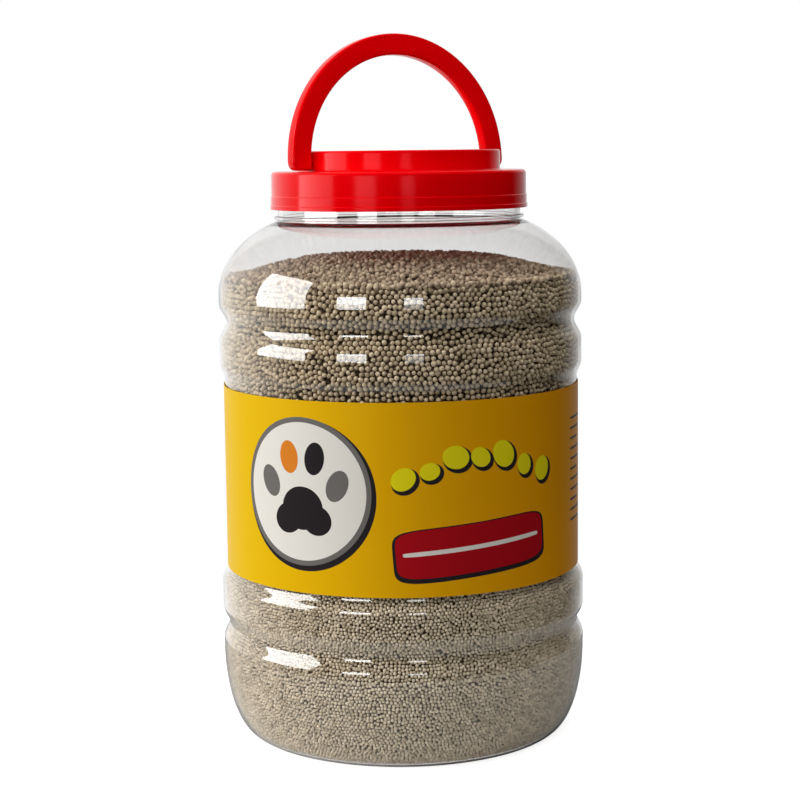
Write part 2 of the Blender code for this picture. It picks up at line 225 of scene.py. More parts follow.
# Unevenness of each finish: the noise's scale, the bump's strength and depth, the noise's detail
PET_WAVES = (34.0, 0.10, 0.0012, 1.0)
RED_WAVES = (60.0, 0.05, 0.0008, 2.0)
FILM_WAVES = (25.0, 0.08, 0.001, 1.0)
FOAM_GRAIN = (900.0, 0.4, 0.0003, 3.0)
CLAY_GRAIN = (2400.0, 0.35, 0.0002, 3.0)
BED_GRAIN = (420.0, 0.9, 0.001, 3.0)

# Inks of the label
INK_YELLOW = (0.80, 0.50, 0.002)
# Amber is laid over the yellow towards the right side, away from the key light: painted shade
INK_AMBER_SHADE = (0.80, 0.31, 0.002)
INK_CREAM = (0.80, 0.77, 0.70)
INK_DARK = (0.022, 0.018, 0.02)
INK_GREY = (0.16, 0.15, 0.14)
INK_ORANGE = (0.72, 0.22, 0.02)
INK_RED = (0.42, 0.006, 0.012)
INK_LEMON = (0.83, 0.72, 0.01)

# Label art, in metres to the right of the front line and up from the label's foot
MEDALLION_CENTRE = (-0.047, 0.046)
# The medallion's ellipses from its centre: across, up, half width, half height, tilt and ink
MEDALLION = (
    (0.0012, -0.0014, 0.0345, 0.0345, 0, INK_DARK),
    (0.0, 0.0, 0.0335, 0.0335, 0, INK_GREY),
    (0.0, 0.0, 0.0312, 0.0312, 0, INK_CREAM),
    (-0.0075, -0.0125, 0.0075, 0.0068, 20, INK_DARK),
    (0.0075, -0.0125, 0.0075, 0.0068, -20, INK_DARK),
    (0.0, -0.0075, 0.0108, 0.0098, 0, INK_DARK),
    (-0.0178, 0.0035, 0.0050, 0.0074, 24, INK_GREY),
    (-0.0068, 0.0152, 0.0050, 0.0074, 8, INK_ORANGE),
    (0.0068, 0.0152, 0.0050, 0.0074, -8, INK_DARK),
    (0.0178, 0.0035, 0.0050, 0.0074, -24, INK_GREY),
)
BAND_CENTRE = (0.034, 0.021)
BAND_TILT = 4
# The band's bars from its centre: up, half width, half height, squareness and ink
BAND = (
    (-0.0008, 0.0385, 0.0123, 6, INK_DARK),
    (0.0, 0.0372, 0.0110, 6, INK_RED),
    (0.0004, 0.0340, 0.0010, 8, INK_CREAM),
)
PEBBLE_SIZES = (0.0058, 0.0046, 0.0062, 0.0050, 0.0064, 0.0048, 0.0056)
PEBBLE_START = (0.0005, 0.052)
PEBBLE_STEP = 0.0118
PEBBLE_ARC = 0.0105
PEBBLE_ZIGZAG = 0.0010
PEBBLE_TILT = 35
PEBBLE_ROLL = 23
PEBBLE_FLATNESS = 0.84
PEBBLE_SHADOW = (0.0010, -0.0011)
PEBBLE_SHADOW_EDGE = 0.0008
RULES_START = (0.100, 0.072)
RULE_COUNT = 11
RULE_STEP = 0.0048
RULE_HALF_LENGTHS = (0.011, 0.009, 0.007)
RULE_HALF_WIDTH = 0.00055
RULE_SQUARENESS = 8

# Camera, from the photograph: a level azimuth of 0 looks along +Y
CAMERA_AZIMUTH = -33.3
CAMERA_DISTANCE = 0.911
CAMERA_HEIGHT = 0.2772
CAMERA_PITCH = 7.44
CAMERA_ROLL = 0.661
CAMERA_YAW = 0.033
CAMERA_LENS = 86.1
SENSOR_WIDTH = 36.0
LABEL_FRONT = math.radians(CAMERA_AZIMUTH - 90)

# Light. Each window: azimuth to the camera's left, width, foot and top elevation, its brightness
# to what it lights, and from which elevation up it is brighter in reflections, and how much
WINDOW_DISTANCE = 1.1
GLINT_NEARER = 0.02
WINDOW_LEVEL = 0.20
WINDOWS = {
    "key": (78.0, 38.5, -4.0, 32.0, 3.2, -4.0, 1.8),
    "fill": (29.0, 18.0, -4.0, 13.0, 4.3, 2.0, 2.6),
    "right": (-8.0, 11.0, -4.0, 12.0, 1.35, 2.0, 3.1),
}
WATTS_PER_RADIANCE = 4.0
# Lamps that light only by scattering: azimuth to the camera's left, reach, height, size, brightness
# and the height on the axis that they face
SOFT_LAMPS = {
    "crown": (-33.0, 0.22, 0.62, 0.26, 2.8, 0.300),
    "upper_left": (65.0, 0.80, 1.05, 0.55, 3.1, 0.220),
}
# World as a light: below the horizon, at the sides and at the top, and the sines of elevation between them
AMBIENT_BELOW = 0.03
HORIZON_SINES = (-0.06, 0.02)
AMBIENT_SIDE = 0.03
AMBIENT_SINES = (0.25, 0.80)
AMBIENT_TOP = 0.44
# World behind the object: how far to the left its middle is, its light and its brightness in gloss,
# each with the cosines from that middle between which it fades in
BACK_LEFT = 28.0
AMBIENT_BACK = 0.60
BACK_COSINES = (0.15, 0.90)
GLOSS_BACK = 1.0
GLOSS_COSINES = (0.10, 0.95)
# Floor: the distances between which its whiteness to the camera rises, and that whiteness at each
FLOOR_RADIUS = 0.26
FLOOR_DISTANCES = (0.12, 0.25)
FLOOR_WHITENESS = (0.82, 1.0)
# A ray that no gloss has thrown back yet has a glossy depth below this
FIRST_GLOSS = 0.5


def arc(centre, reach, rise, start, end, steps):
    """Points of an elliptical arc between two angles in degrees, both ends included."""
    points = []
    for i in range(steps + 1):
        angle = math.radians(start + (end - start) * i / steps)
        points.append((centre[0] + reach * math.cos(angle), centre[1] + rise * math.sin(angle)))
    return points


def blend(start, end, steps):
    """Points of an S-shaped step from one radius and height to another."""
    points = []
    for i in range(steps + 1):
        share = i / steps
        eased = (1 - math.cos(math.pi * share)) / 2
        points.append((start[0] + (end[0] - start[0]) * eased, start[1] + (end[1] - start[1]) * share))
    return points


def groove(radius, depth, top, foot, steps):
    """Points of a rounded groove that runs round the jar, from its top to its foot."""
    points = []
    for i in range(steps + 1):
        share = i / steps
        dip = depth * (1 - math.cos(2 * math.pi * share)) / 2
        points.append((radius - dip, top + (foot - top) * share))
    return points


def without_repeats(points):
    """Drop each point that lies on the one before it."""
    kept = points[:1]
    for point in points[1:]:
        if math.dist(point, kept[-1]) > SAME_POINT:
            kept.append(point)
    return kept


def body_outline():
    """The jar's outside from the foot of its neck down to the centre of its base."""
    sweep = math.radians(SHOULDER_SWEEP_DEGREES)
    shoulder_reach = (UPPER_RADIUS - NECK_RADIUS) / (1 - math.cos(sweep))
    shoulder_centre = (UPPER_RADIUS - shoulder_reach, SHOULDER_FOOT)
    shoulder_semi_height = SHOULDER_RISE / math.sin(sweep)
    heel_centre = (STANDING_RING_RADIUS, HEEL_HEIGHT)
    heel_reach = LOWER_RADIUS - STANDING_RING_RADIUS
    ring_inner = STANDING_RING_RADIUS - STANDING_RING_WIDTH
    points = arc(
        shoulder_centre, shoulder_reach, shoulder_semi_height, SHOULDER_SWEEP_DEGREES, 0, SHOULDER_STEPS
    )
    points += groove(UPPER_RADIUS, UPPER_GROOVE_DEPTH, TOP_BAND_FOOT, UPPER_GROOVE_FOOT, GROOVE_STEPS)
    points += blend((UPPER_RADIUS, UPPER_BULGE_FOOT), (PANEL_RADIUS, UPPER_STEP_FOOT), STEP_STEPS)
    points += blend((PANEL_RADIUS, PANEL_FOOT), (LOWER_RADIUS, LOWER_STEP_FOOT), STEP_STEPS)
    points += groove(LOWER_RADIUS, LOWER_GROOVE_DEPTH, LOWER_BULGE_FOOT, LOWER_GROOVE_FOOT, GROOVE_STEPS)
    points += arc(heel_centre, heel_reach, HEEL_HEIGHT, 0, -90, HEEL_STEPS)
    points += arc((0, 0), ring_inner, PUSH_UP_HEIGHT, 0, 90, DOME_STEPS)
    return without_repeats(points)


def stretch_normals(points):
    """The inward normal of each stretch of an outline that runs down the outer side."""
    steps = np.diff(points, axis=0)
    steps /= np.hypot(steps[:, 0], steps[:, 1])[:, None]
    return np.column_stack([steps[:, 1], -steps[:, 0]])


def point_normals(points):
    """The inward normal at each point of such an outline."""
    faces = stretch_normals(points)
    corners = np.vstack([faces[:1], faces[:-1] + faces[1:], faces[-1:]])
    return corners / np.hypot(corners[:, 0], corners[:, 1])[:, None]


def offset_inward(points, distance):
    """Move an outline that runs down the outer side inward, kept parallel."""
    points = np.array(points)
    normals = point_normals(points)
    faces = stretch_normals(points)
    shift = distance / (normals * np.vstack([faces, faces[-1:]])).sum(axis=1)
    moved = points + normals * shift[:, None]
    moved[-1, 0] = 0.0
    return [tuple(point) for point in moved]


def litter_outline():
    """The filling's outside: the mound from the middle outward, then the wall down to the base."""
    side = offset_inward(body_outline(), BODY_WALL + WALL_CLEARANCE)
    below = [point for point in side if point[1] <= LITTER_LEVEL]
    above = side[side.index(below[0]) - 1]
    share = (above[1] - LITTER_LEVEL) / (above[1] - below[0][1])
    edge = above[0] + (below[0][0] - above[0]) * share
    mound = []
    for i in range(MOUND_STEPS):
        radius = edge * i / MOUND_STEPS
        fall = (1 + math.cos(math.pi * (radius / edge) ** MOUND_POWER)) / 2
        mound.append((radius, LITTER_LEVEL + MOUND_RISE * fall))
    return mound, [(edge, LITTER_LEVEL)] + below


def add_object(name, data):
    """Link a new object to the scene."""
    item = bpy.data.objects.new(name, data)
    bpy.context.scene.collection.objects.link(item)
    return item


def new_piece(name, mesh, material):
    """Link a mesh as a piece with its material."""
    mesh.materials.append(material)
    return add_object(name, mesh)


def mesh_of(name, shape):
    """A new mesh from a bmesh, which is freed."""
    mesh = bpy.data.meshes.new(name)
    shape.to_mesh(mesh)
    shape.free()
    return mesh


def evaluated_mesh(item):
    """The mesh that an object's modifiers or its curve's settings make."""
    bpy.context.view_layer.update()
    graph = bpy.context.evaluated_depsgraph_get()
    return bpy.data.meshes.new_from_object(item.evaluated_get(graph))


def assign(piece, body, stands_for=None):
    """Say which body a piece rides on and the node that it stands for."""
    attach(piece, body)
    if stands_for:
        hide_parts(stands_for)


def settle(piece, body, stands_for=None):
    """Shade a piece smooth up to its sharp edges, and assign it."""
    piece.data.shade_smooth()
    piece.data.set_sharp_from_angle(angle=math.radians(SHARP_DEGREES))
    assign(piece, body, stands_for)


def turned_mesh(name, profile, bulge=None):
    """Turn a profile of radius and height points about Z.

    bulge(angle, index) is what a point's radius gains.
    """
    mesh = bpy.data.meshes.new(name)
    vertices = []
    rings = []
    for index, (radius, height) in enumerate(profile):
        if radius < SAME_POINT:
            rings.append([len(vertices)] * FACETS)
            vertices.append((0.0, 0.0, height))
            continue
        rings.append([len(vertices) + i for i in range(FACETS)])
        for i in range(FACETS):
            angle = 2 * math.pi * i / FACETS
            reach = radius + (bulge(angle, index) if bulge else 0.0)
            vertices.append((reach * math.cos(angle), reach * math.sin(angle), height))
    faces = []
    for upper, lower in zip(rings, rings[1:]):
        for i in range(FACETS):
            j = (i + 1) % FACETS
            corners = [upper[i], lower[i], lower[j], upper[j]]
            faces.append([c for k, c in enumerate(corners) if c != corners[k - 1]])
    mesh.from_pydata(vertices, [], faces)
    return mesh


def thread_height(angle, height, foot, turns):
    """How far a thread that climbs from foot stands proud at a point of its cylinder."""
    along = (height - foot) / PITCH - angle / (2 * math.pi)
    winding = round(along)
    turn = winding + angle / (2 * math.pi)
    if not 0 <= turn <= turns:
        return 0.0
    aside = abs(along - winding) * PITCH
    flank = (THREAD_FOOT_WIDTH - THREAD_CREST_WIDTH) / 2
    share = min(1.0, max(0.0, (THREAD_FOOT_WIDTH / 2 - aside) / flank))
    fade = min(1.0, turn / THREAD_END_FADE, (turns - turn) / THREAD_END_FADE)
    return THREAD_DEPTH * share * fade


def node(tree, kind, inputs=None, **settings):
    """Add a shader node with its settings. Each input takes another node's output or a plain value."""
    made = tree.nodes.new(kind)
    for key, value in settings.items():
        setattr(made, key, value)
    for key, value in (inputs or {}).items():
        socket = made.inputs[key]
        if isinstance(value, bpy.types.NodeSocket):
            tree.links.new(value, socket)
        elif socket.type == "RGBA":
            socket.default_value = (*value, 1)
        else:
            socket.default_value = value
    return made


def number(tree, operation, *terms, **settings):
    """What a Math node makes of its terms."""
    made = node(tree, "ShaderNodeMath", dict(enumerate(terms)), operation=operation, **settings)
    return made.outputs[0]


def length(tree, vector):
    """The length of a vector."""
    return node(tree, "ShaderNodeVectorMath", {0: vector}, operation="LENGTH").outputs["Value"]


def map_range(tree, value, span, low, high, interpolation="LINEAR"):
    """A value that goes from low to high while another goes through its span."""
    inputs = {"Value": value, "From Min": span[0], "From Max": span[1], "To Min": low, "To Max": high}
    return node(tree, "ShaderNodeMapRange", inputs, interpolation_type=interpolation).outputs[0]


def ramp(tree, factor, low, high):
    """A colour between two colours, by a factor from 0 to 1."""
    inputs = {"Factor": factor, "A": low, "B": high}
    return node(tree, "ShaderNodeMix", inputs, data_type="RGBA").outputs["Result"]


def new_material(name):
    """An empty node material, and its tree."""
    material = bpy.data.materials.new(name)
    material.use_nodes = True
    material.node_tree.nodes.clear()
    return material, material.node_tree


def show(tree, shader):
    """Make a shader the surface of its material."""
    node(tree, "ShaderNodeOutputMaterial", {"Surface": shader.outputs[0]})


def principled(tree, **values):
    """The Principled shader, with its inputs by their names in small letters."""
    inputs = {key.replace("_", " ").title().replace("Ior", "IOR"): value for key, value in values.items()}
    return node(tree, "ShaderNodeBsdfPrincipled", inputs)


def uneven(tree, scale, strength, depth, detail):
    """A fine uneven surface, in object space: its noise and its normal."""
    place = node(tree, "ShaderNodeTexCoord").outputs["Object"]
    noise = node(tree, "ShaderNodeTexNoise", {"Vector": place, "Scale": scale, "Detail": detail})
    inputs = {"Height": noise.outputs["Fac"], "Strength": strength, "Distance": depth}
    return noise.outputs["Fac"], node(tree, "ShaderNodeBump", inputs).outputs["Normal"]


def clear_plastic():
    """Thin clear bottle plastic, which lets lamps and diffuse light through to the granules."""
    material, tree = new_material("clear_plastic")
    _, normal = uneven(tree, *PET_WAVES)
    plastic = principled(
        tree, base_color=PET_TINT, roughness=0.02, ior=1.57, transmission_weight=1.0, normal=normal
    )
    rays = node(tree, "ShaderNodeLightPath").outputs
    through = number(tree, "MAXIMUM", rays["Is Shadow Ray"], rays["Is Diffuse Ray"])
    open_way = node(tree, "ShaderNodeBsdfTransparent", {"Color": PET_SHADOW_TINT})
    inputs = {0: through, 1: plastic.outputs[0], 2: open_way.outputs[0]}
    show(tree, node(tree, "ShaderNodeMixShader", inputs))
    return material


def painted_skirt_glow(tree):
    """How bright the painted glow inside the skirt is: red emission that stands in for the light that
    shines through its thin wall.
    """
    place = node(tree, "ShaderNodeTexCoord").outputs["Object"]
    level = node(tree, "ShaderNodeVectorMath", {0: place, 1: (1, 1, 0)}, operation="MULTIPLY")
    inside = number(tree, "LESS_THAN", length(tree, level.outputs[0]), SKIRT_BORE_RADIUS + SKIRT_WALL / 2)
    height = node(tree, "ShaderNodeSeparateXYZ", {0: place}).outputs[2]
    under = number(tree, "LESS_THAN", height, SKIRT_PAINTED_GLOW_TOP)
    return number(tree, "MULTIPLY", number(tree, "MULTIPLY", inside, under), SKIRT_PAINTED_GLOW)


def red_plastic():
    """Glossy moulded plastic of the lid and the handle, very slightly uneven, with a painted red glow
    inside the lid's skirt.
    """
    material, tree = new_material("red_plastic")
    noise, normal = uneven(tree, *RED_WAVES)
    plastic = principled(
        tree,
        base_color=ramp(tree, noise, *RED_TONES),
        roughness=0.13,
        ior=1.49,
        specular_tint=RED_GLOSS,
        # Painted glow: emission inside the skirt in place of the light that shines through its wall
        emission_color=SKIRT_PAINTED_GLOW_COLOUR,
        emission_strength=painted_skirt_glow(tree),
        normal=normal,
    )
    show(tree, plastic)
    return material


def foam():
    """White closed-cell foam of the sealing wad."""
    material, tree = new_material("foam")
    _, normal = uneven(tree, *FOAM_GRAIN)
    show(tree, principled(tree, base_color=FOAM_WHITE, roughness=0.8, normal=normal))
    return material


def granule_clay(kind):
    """Matt dry clay. Each granule has its own tone, and a fine grain on its surface."""
    material, tree = new_material(kind + "_clay")
    grain, normal = uneven(tree, *CLAY_GRAIN)
    tone = node(tree, "ShaderNodeAttribute", attribute_name="tone").outputs["Fac"]
    grained = number(tree, "MULTIPLY_ADD", grain, GRAIN_SHARE, tone)
    shade = number(tree, "SUBTRACT", grained, GRAIN_SHARE / 2, use_clamp=True)
    colour = ramp(tree, shade, *CLAYS[kind])
    show(tree, principled(tree, base_color=colour, roughness=0.85, specular_ior_level=0.25, normal=normal))
    return material


def bed_painted_shade_clay():
    """The deep litter behind the granules, painted nearly black as the shade that shows between them."""
    material, tree = new_material("bed_painted_shade_clay")
    grain, normal = uneven(tree, *BED_GRAIN)
    colour = ramp(tree, grain, *CLAYS["bed"])
    show(tree, principled(tree, base_color=colour, roughness=0.95, specular_ior_level=0.1, normal=normal))
    return material


def make_bottle(material):
    """The clear bottle with its screw thread moulded on the neck."""
    ledge_foot = NECK_FOOT + LEDGE_FOOT
    ledge_radius = NECK_RADIUS + LEDGE_WIDTH
    bore_radius = NECK_RADIUS - NECK_WALL
    rim = arc((NECK_RADIUS - RIM_ROUND, RIM_HEIGHT - RIM_ROUND), RIM_ROUND, RIM_ROUND, 90, 0, CORNER_STEPS)
    side_top = RIM_HEIGHT - RIM_ROUND
    side = []
    for i in range(1, THREAD_ROWS + 1):
        side.append((NECK_RADIUS, side_top + (LEDGE_TOP - side_top) * i / THREAD_ROWS))
    upper = (ledge_radius - LEDGE_ROUND, LEDGE_TOP - LEDGE_ROUND)
    lower = (ledge_radius - LEDGE_ROUND, ledge_foot + LEDGE_ROUND)
    ledge = arc(upper, LEDGE_ROUND, LEDGE_ROUND, 90, 0, CORNER_STEPS)
    ledge += arc(lower, LEDGE_ROUND, LEDGE_ROUND, 0, -90, CORNER_STEPS)
    body = body_outline()
    inside = offset_inward(body, BODY_WALL)[1:]
    bore = [(bore_radius, NECK_FOOT - BODY_WALL), (bore_radius, RIM_HEIGHT)]
    start = list(reversed(inside)) + bore + rim
    profile = start + side + ledge + [(NECK_RADIUS, ledge_foot)] + body
    threaded = range(len(start), len(start) + len(side))

    def bulge(angle, index):
        if index not in threaded:
            return 0.0
        return thread_height(angle, profile[index][1], NECK_THREAD_FOOT, NECK_THREAD_TURNS)

    bottle = new_piece("bottle", turned_mesh("bottle", profile, bulge), material)
    settle(bottle, "jar", "jar")


def make_lid(material):
    """The red lid with the thread inside its skirt and the two pivot holes in its boss."""
    step_height = SKIRT_FOOT + SKIRT_STEP_HEIGHT
    band_radius = SKIRT_RADIUS + SKIRT_STEP
    lip_radius = band_radius + SKIRT_LIP
    lip_top = SKIRT_FOOT + SKIRT_LIP_HEIGHT
    ceiling = BOSS_TOP - BOSS_WALL
    boss_bore = BOSS_RADIUS - BOSS_WALL
    boss_edge = (BOSS_RADIUS - BOSS_EDGE_RADIUS, BOSS_TOP - BOSS_EDGE_RADIUS)
    boss_foot = (BOSS_RADIUS + BOSS_FOOT_RADIUS, FLANGE_TOP + BOSS_FOOT_RADIUS)
    flange_edge = (SKIRT_RADIUS - FLANGE_EDGE_RADIUS, FLANGE_TOP - FLANGE_EDGE_RADIUS)
    outside = [(0, BOSS_TOP)]
    outside += arc(boss_edge, BOSS_EDGE_RADIUS, BOSS_EDGE_RADIUS, 90, 0, CORNER_STEPS)
    outside += arc(boss_foot, BOSS_FOOT_RADIUS, BOSS_FOOT_RADIUS, 180, 270, CORNER_STEPS)
    outside += arc(flange_edge, FLANGE_EDGE_RADIUS, FLANGE_EDGE_RADIUS, 90, 0, CORNER_STEPS)
    outside += [
        (SKIRT_RADIUS, step_height + SKIRT_STEP),
        (band_radius, step_height),
        (band_radius, lip_top + SKIRT_LIP),
        (lip_radius, lip_top),
        (lip_radius, SKIRT_FOOT),
    ]
    bore = []
    for i in range(THREAD_ROWS + 1):
        bore.append((SKIRT_BORE_RADIUS, SKIRT_FOOT + (FLANGE_UNDERSIDE - SKIRT_FOOT) * i / THREAD_ROWS))
    profile = outside + bore + [(boss_bore, FLANGE_UNDERSIDE), (boss_bore, ceiling), (0, ceiling)]
    threaded = range(len(outside) + 1, len(outside) + len(bore) - 1)

    def bulge(angle, index):
        if index not in threaded:
            return 0.0
        return -thread_height(angle, profile[index][1], NECK_THREAD_FOOT - PITCH / 2, LID_THREAD_TURNS)

    lid = new_piece("screw_lid", turned_mesh("screw_lid", profile, bulge), material)
    reach = BOSS_RADIUS + HANDLE_SIDE_GAP + CUTTER_MARGIN
    holes = cylinder_along_x("pivot_holes", PIN_RADIUS + PIN_GAP, -reach, reach, PIVOT_HEIGHT)
    apply_boolean(lid, holes, "DIFFERENCE")
    settle(lid, "lid", "lid")


def make_wad(material):
    """The foam wad in the lid that seals on the rim."""
    radius = SKIRT_BORE_RADIUS - LINER_SIDE_GAP - THREAD_DEPTH
    top = LINER_FOOT + LINER_THICKNESS
    profile = [(0, top), (radius, top), (radius, LINER_FOOT), (0, LINER_FOOT)]
    wad = new_piece("sealing_wad", turned_mesh("sealing_wad", profile), material)
    settle(wad, "liner", "lid_liner")


def cylinder_along_x(name, radius, start, end, height):
    """A closed cylinder whose axis lies along X at a height."""
    shape = bmesh.new()
    turn = Matrix.Rotation(math.pi / 2, 4, "Y")
    place = Matrix.Translation(((start + end) / 2, 0, height))
    bmesh.ops.create_cone(
        shape,
        cap_ends=True,
        segments=PIN_FACETS,
        radius1=radius,
        radius2=radius,
        depth=end - start,
        matrix=place @ turn,
    )
    return add_object(name, mesh_of(name, shape))


def apply_modifiers(piece):
    """Turn what a piece's modifiers make into its mesh."""
    mesh = evaluated_mesh(piece)
    piece.modifiers.clear()
    piece.data = mesh


def apply_boolean(piece, cutter, operation):
    """Cut or join a piece with another shape, and remove that shape."""
    boolean = piece.modifiers.new(cutter.name, "BOOLEAN")
    boolean.operation = operation
    boolean.solver = "EXACT"
    boolean.object = cutter
    apply_modifiers(piece)
    bpy.data.objects.remove(cutter, do_unlink=True)


def outline_mesh(name, points, half_depth, bevel=0.0, bevel_steps=0):
    """A flat closed outline given depth, and rounded edges, as a welded mesh."""
    curve = bpy.data.curves.new(name, "CURVE")
    curve.dimensions = "2D"
    curve.fill_mode = "BOTH"
    curve.extrude = half_depth
    curve.bevel_depth = bevel
    curve.bevel_resolution = bevel_steps
    spline = curve.splines.new("POLY")
    spline.points.add(len(points) - 1)
    for point, (x, y) in zip(spline.points, points):
        point.co = (x, y, 0.0, 1.0)
    spline.use_cyclic_u = True
    item = add_object(name, curve)
    weld = bmesh.new()
    weld.from_mesh(evaluated_mesh(item))
    bpy.data.objects.remove(item, do_unlink=True)
    bmesh.ops.remove_doubles(weld, verts=weld.verts, dist=SAME_POINT / 2)
    bmesh.ops.recalc_face_normals(weld, faces=weld.faces)
    return mesh_of(name, weld)


def handle_outline():
    """The half ring and its two legs, inset by the radius that rounds its edges."""
    outer = HANDLE_OUTER_RADIUS - HANDLE_EDGE_RADIUS
    inner = HANDLE_INNER_RADIUS + HANDLE_EDGE_RADIUS
    foot = -(SWING_RADIUS - HANDLE_EDGE_RADIUS)
    corner = (outer - HANDLE_CORNER_WIDTH, foot + HANDLE_CORNER_HEIGHT)
    right_corner = arc(corner, HANDLE_CORNER_WIDTH, HANDLE_CORNER_HEIGHT, -90, 0, CORNER_STEPS)
    left_corner = [(-x, y) for x, y in reversed(right_corner)]
    points = [(inner, foot)] + right_corner
    points += arc((0, 0), outer, outer, 0, 180, HANDLE_ARC_STEPS)
    points += left_corner + [(-inner, foot)]
    points += arc((0, 0), inner, inner, 180, 0, HANDLE_ARC_STEPS)
    return without_repeats(points)


def swing_envelope(room):
    """The space that rounds the leg ends about the pivot, so that they clear the flange."""
    half = HANDLE_THICKNESS
    points = [(-half, room), (-half, 0)]
    points += arc((0, 0), SWING_RADIUS, SWING_RADIUS, 180, 360, PIN_FACETS)
    points += [(half, 0), (half, room)]
    mesh = outline_mesh("swing_envelope", without_repeats(points), room)
    mesh.transform(Matrix.Rotation(math.pi / 2, 4, "Z") @ Matrix.Rotation(math.pi / 2, 4, "X"))
    return add_object("swing_envelope", mesh)


def make_handle(material):
    """The half-ring carry handle with its two pivot pins."""
    half_depth = HANDLE_THICKNESS / 2 - HANDLE_EDGE_RADIUS
    mesh = outline_mesh(
        "carry_handle", handle_outline(), half_depth, HANDLE_EDGE_RADIUS, HANDLE_BEVEL_STEPS
    )
    mesh.transform(Matrix.Rotation(math.pi / 2, 4, "X"))
    handle = new_piece("carry_handle", mesh, material)
    apply_boolean(handle, swing_envelope(HANDLE_OUTER_RADIUS + CUTTER_MARGIN), "INTERSECT")
    pin_tip = BOSS_RADIUS - BOSS_WALL - PIN_REACH
    pin_root = HANDLE_INNER_RADIUS + PIN_ROOT
    for start, end in ((pin_tip, pin_root), (-pin_root, -pin_tip)):
        apply_boolean(handle, cylinder_along_x("pin", PIN_RADIUS, start, end, 0), "UNION")
    lean = Matrix.Rotation(math.radians(HANDLE_LEAN_DEGREES), 4, "X")
    handle.data.transform(Matrix.Translation((0, 0, PIVOT_HEIGHT)) @ lean)
    settle(handle, "handle", "handle")


def make_label(material):
    """The wrap-around label, with a map of real distances round and up it for its print."""
    inner = PANEL_RADIUS + LABEL_GAP
    lapped = inner + LABEL_THICKNESS + SEAT_GAP
    seam = math.radians(LABEL_SEAM_DEGREES)
    lap = math.radians(LABEL_LAP_DEGREES)
    steps = round(FACETS * (2 * math.pi + lap) / (2 * math.pi))
    shape = bmesh.new()
    distances = shape.loops.layers.uv.new("print")
    columns = []
    for i in range(steps + 1):
        turn = (2 * math.pi + lap) * i / steps
        share = min(1.0, max(0.0, (turn - (2 * math.pi - lap)) / lap))
        radius = inner + (lapped - inner) * share * share * (3 - 2 * share)
        angle = seam + turn
        ends = []
        for height in (LABEL_FOOT, LABEL_TOP):
            ends.append(shape.verts.new((radius * math.cos(angle), radius * math.sin(angle), height)))
        columns.append((ends, angle))
    front = LABEL_FRONT % (2 * math.pi)
    for (start, start_angle), (end, end_angle) in zip(columns, columns[1:]):
        face = shape.faces.new((start[0], end[0], end[1], start[1]))
        for loop, angle in zip(face.loops, (start_angle, end_angle, end_angle, start_angle)):
            loop[distances].uv = ((angle - front) * inner, loop.vert.co.z - LABEL_FOOT)
    label = new_piece("printed_label", mesh_of("printed_label", shape), material)
    wall = label.modifiers.new("thickness", "SOLIDIFY")
    wall.thickness = LABEL_THICKNESS
    wall.offset = 1.0
    apply_modifiers(label)
    settle(label, "jar", "label")


def icosahedron():
    """Corners at a distance of 1 and faces of the ball that each granule is."""
    shape = bmesh.new()
    bmesh.ops.create_icosphere(shape, subdivisions=1, radius=1.0)
    shape.verts.ensure_lookup_table()
    corners = np.array([vertex.co[:] for vertex in shape.verts])
    faces = np.array([[vertex.index for vertex in face.verts] for face in shape.faces])
    shape.free()
    return corners, faces


def random_turns(count, rng):
    """Random rotation matrices."""
    quaternions = rng.normal(size=(count, 4))
    quaternions /= np.linalg.norm(quaternions, axis=1)[:, None]
    w, x, y, z = quaternions.T
    rows = [
        [1 - 2 * (y * y + z * z), 2 * (x * y - z * w), 2 * (x * z + y * w)],
        [2 * (x * y + z * w), 1 - 2 * (x * x + z * z), 2 * (y * z - x * w)],
        [2 * (x * z - y * w), 2 * (y * z + x * w), 1 - 2 * (x * x + y * y)],
    ]
    return np.moveaxis(np.array(rows), 2, 0)


def crowding(centres, sizes):
    """How far each ball is pushed by the ones that it runs into."""
    tree = kdtree.KDTree(len(centres))
    for i, centre in enumerate(centres):
        tree.insert(centre, i)
    tree.balance()
    widest = 2 * sizes.max()
    first = []
    second = []
    for i, centre in enumerate(centres):
        for _, j, _ in tree.find_range(centre, widest):
            if j > i:
                first.append(i)
                second.append(j)
    apart = centres[first] - centres[second]
    distance = np.maximum(np.linalg.norm(apart, axis=1), SAME_POINT)
    overlap = np.maximum(sizes[first] + sizes[second] - distance, 0)
    shove = apart * (overlap / distance * SPREAD_SHARE)[:, None]
    push = np.zeros_like(centres)
    np.add.at(push, first, shove)
    np.add.at(push, second, -shove)
    return push


